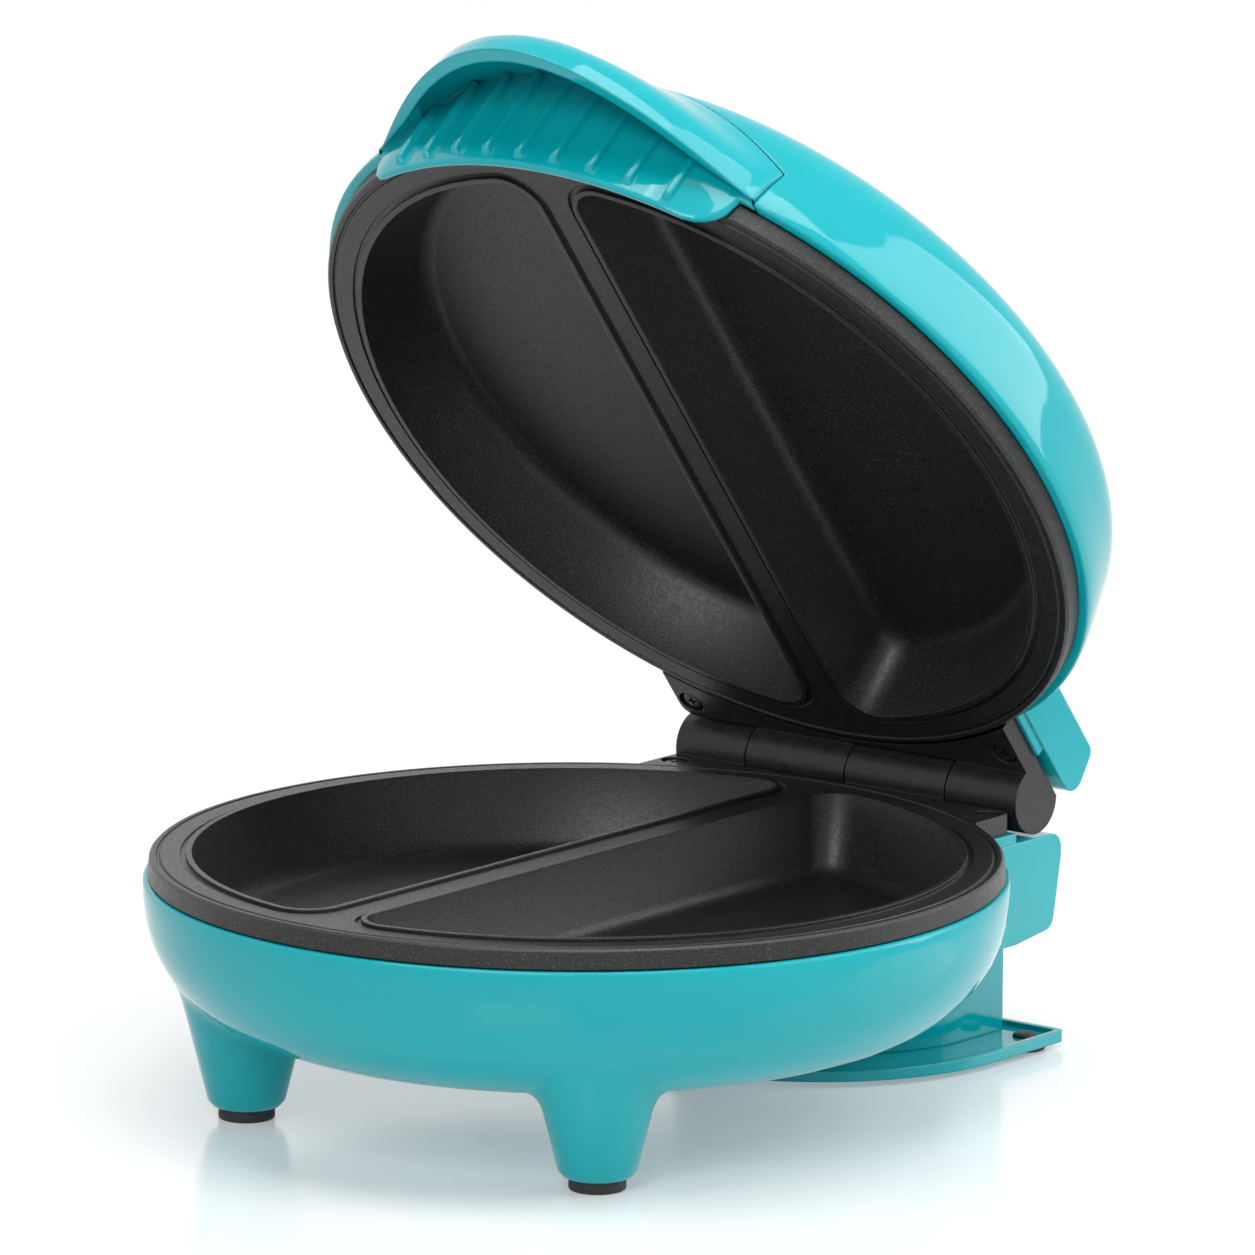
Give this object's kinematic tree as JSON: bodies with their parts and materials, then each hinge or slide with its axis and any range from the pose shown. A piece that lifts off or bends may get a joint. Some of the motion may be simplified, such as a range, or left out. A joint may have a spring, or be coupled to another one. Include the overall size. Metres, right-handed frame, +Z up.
{
  "type": "electric omelette maker",
  "caption": "Hinged countertop omelette cooker: non-stick plates with half-moon cavities, a round bowl on legs, a domed lid with a ribbed finger grip and a cord spool foot.",
  "frame": {"origin": "on the worktop, under the middle of the lower cooking plate", "axes": "+Z up, +Y towards the hinge and the cord spool, +X to the right seen from the handle side"},
  "size_m": [0.2052, 0.2324, 0.2563],
  "materials": {
    "housing": "glossy turquoise moulding",
    "cooking_plate": "cast aluminium with a dark semi-gloss non-stick coat",
    "hinge_casting": "black semi-gloss coat on a die casting",
    "foot_rubber": "matte black rubber",
    "bush_plastic": "matte black moulding",
    "screw_steel": "bright zinc-plated steel",
    "element_steel": "heat-tinted steel tube",
    "shield_metal": "thin bright aluminised sheet",
    "ceramic": "off-white heat-resistant moulding",
    "lead_insulation": "coloured lead insulation",
    "red_lens": "clear red moulding",
    "green_lens": "clear green moulding"
  },
  "bodies": {
    "base": {"base_housing": "housing", "front_feet": "foot_rubber", "spool_flange": "housing", "spool_flange_screws": "screw_steel", "rear_pads": "foot_rubber", "cord_bush": "bush_plastic", "lower_plate": "cooking_plate", "lower_element": "element_steel", "lower_element_clamps": "screw_steel", "lower_clamp_screws": "screw_steel", "lower_heat_shield": "shield_metal", "lower_plate_screws": "screw_steel", "lower_thermostat": "screw_steel", "thermal_fuse": "ceramic", "terminal_block": "ceramic", "terminal_screws": "screw_steel", "mains_leads": "lead_insulation", "base_hinge_leaf": "hinge_casting", "base_leaf_screws": "screw_steel", "hinge_pin": "screw_steel"},
    "lid": {"lid_housing": "housing", "lid_handle": "housing", "handle_screws": "screw_steel", "upper_plate": "cooking_plate", "upper_element": "element_steel", "upper_element_clamps": "screw_steel", "upper_clamp_screws": "screw_steel", "upper_heat_shield": "shield_metal", "upper_shield_screws": "screw_steel", "upper_plate_clips": "screw_steel", "upper_thermostat": "screw_steel", "lid_hinge_leaf": "hinge_casting", "lid_leaf_screws": "screw_steel", "power_lens": "red_lens", "ready_lens": "green_lens", "lamp_holder": "ceramic"}
  },
  "joints": [
    {"name": "lid_hinge", "type": "hinge", "parent": "base", "child": "lid", "pos_m": [0, 0.111, 0.0619], "axis": [-1, 0, 0], "range_deg": [-52, 43]}
  ]
}
